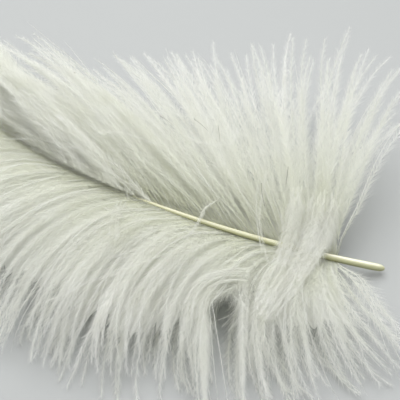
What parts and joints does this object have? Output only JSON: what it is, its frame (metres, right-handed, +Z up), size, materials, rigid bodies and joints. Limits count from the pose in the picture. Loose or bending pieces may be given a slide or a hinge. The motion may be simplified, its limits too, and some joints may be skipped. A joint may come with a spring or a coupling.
{
  "type": "marabou feather",
  "caption": "White marabou feather: a curved, tapering quill with long soft locks of down sweeping from both its sides.",
  "frame": {"origin": "centre of the bounding box's bottom, on the surface that the feather lies on", "axes": "+Z up; the bare end of the quill points towards +X and the feather's tip towards -X; the taller side of the down is towards +Y"},
  "size_m": [0.1348, 0.0972, 0.0224],
  "materials": {
    "down": "soft, matt and slightly see-through"
  },
  "bodies": {
    "root": {"feather": "down"}
  },
  "joints": []
}
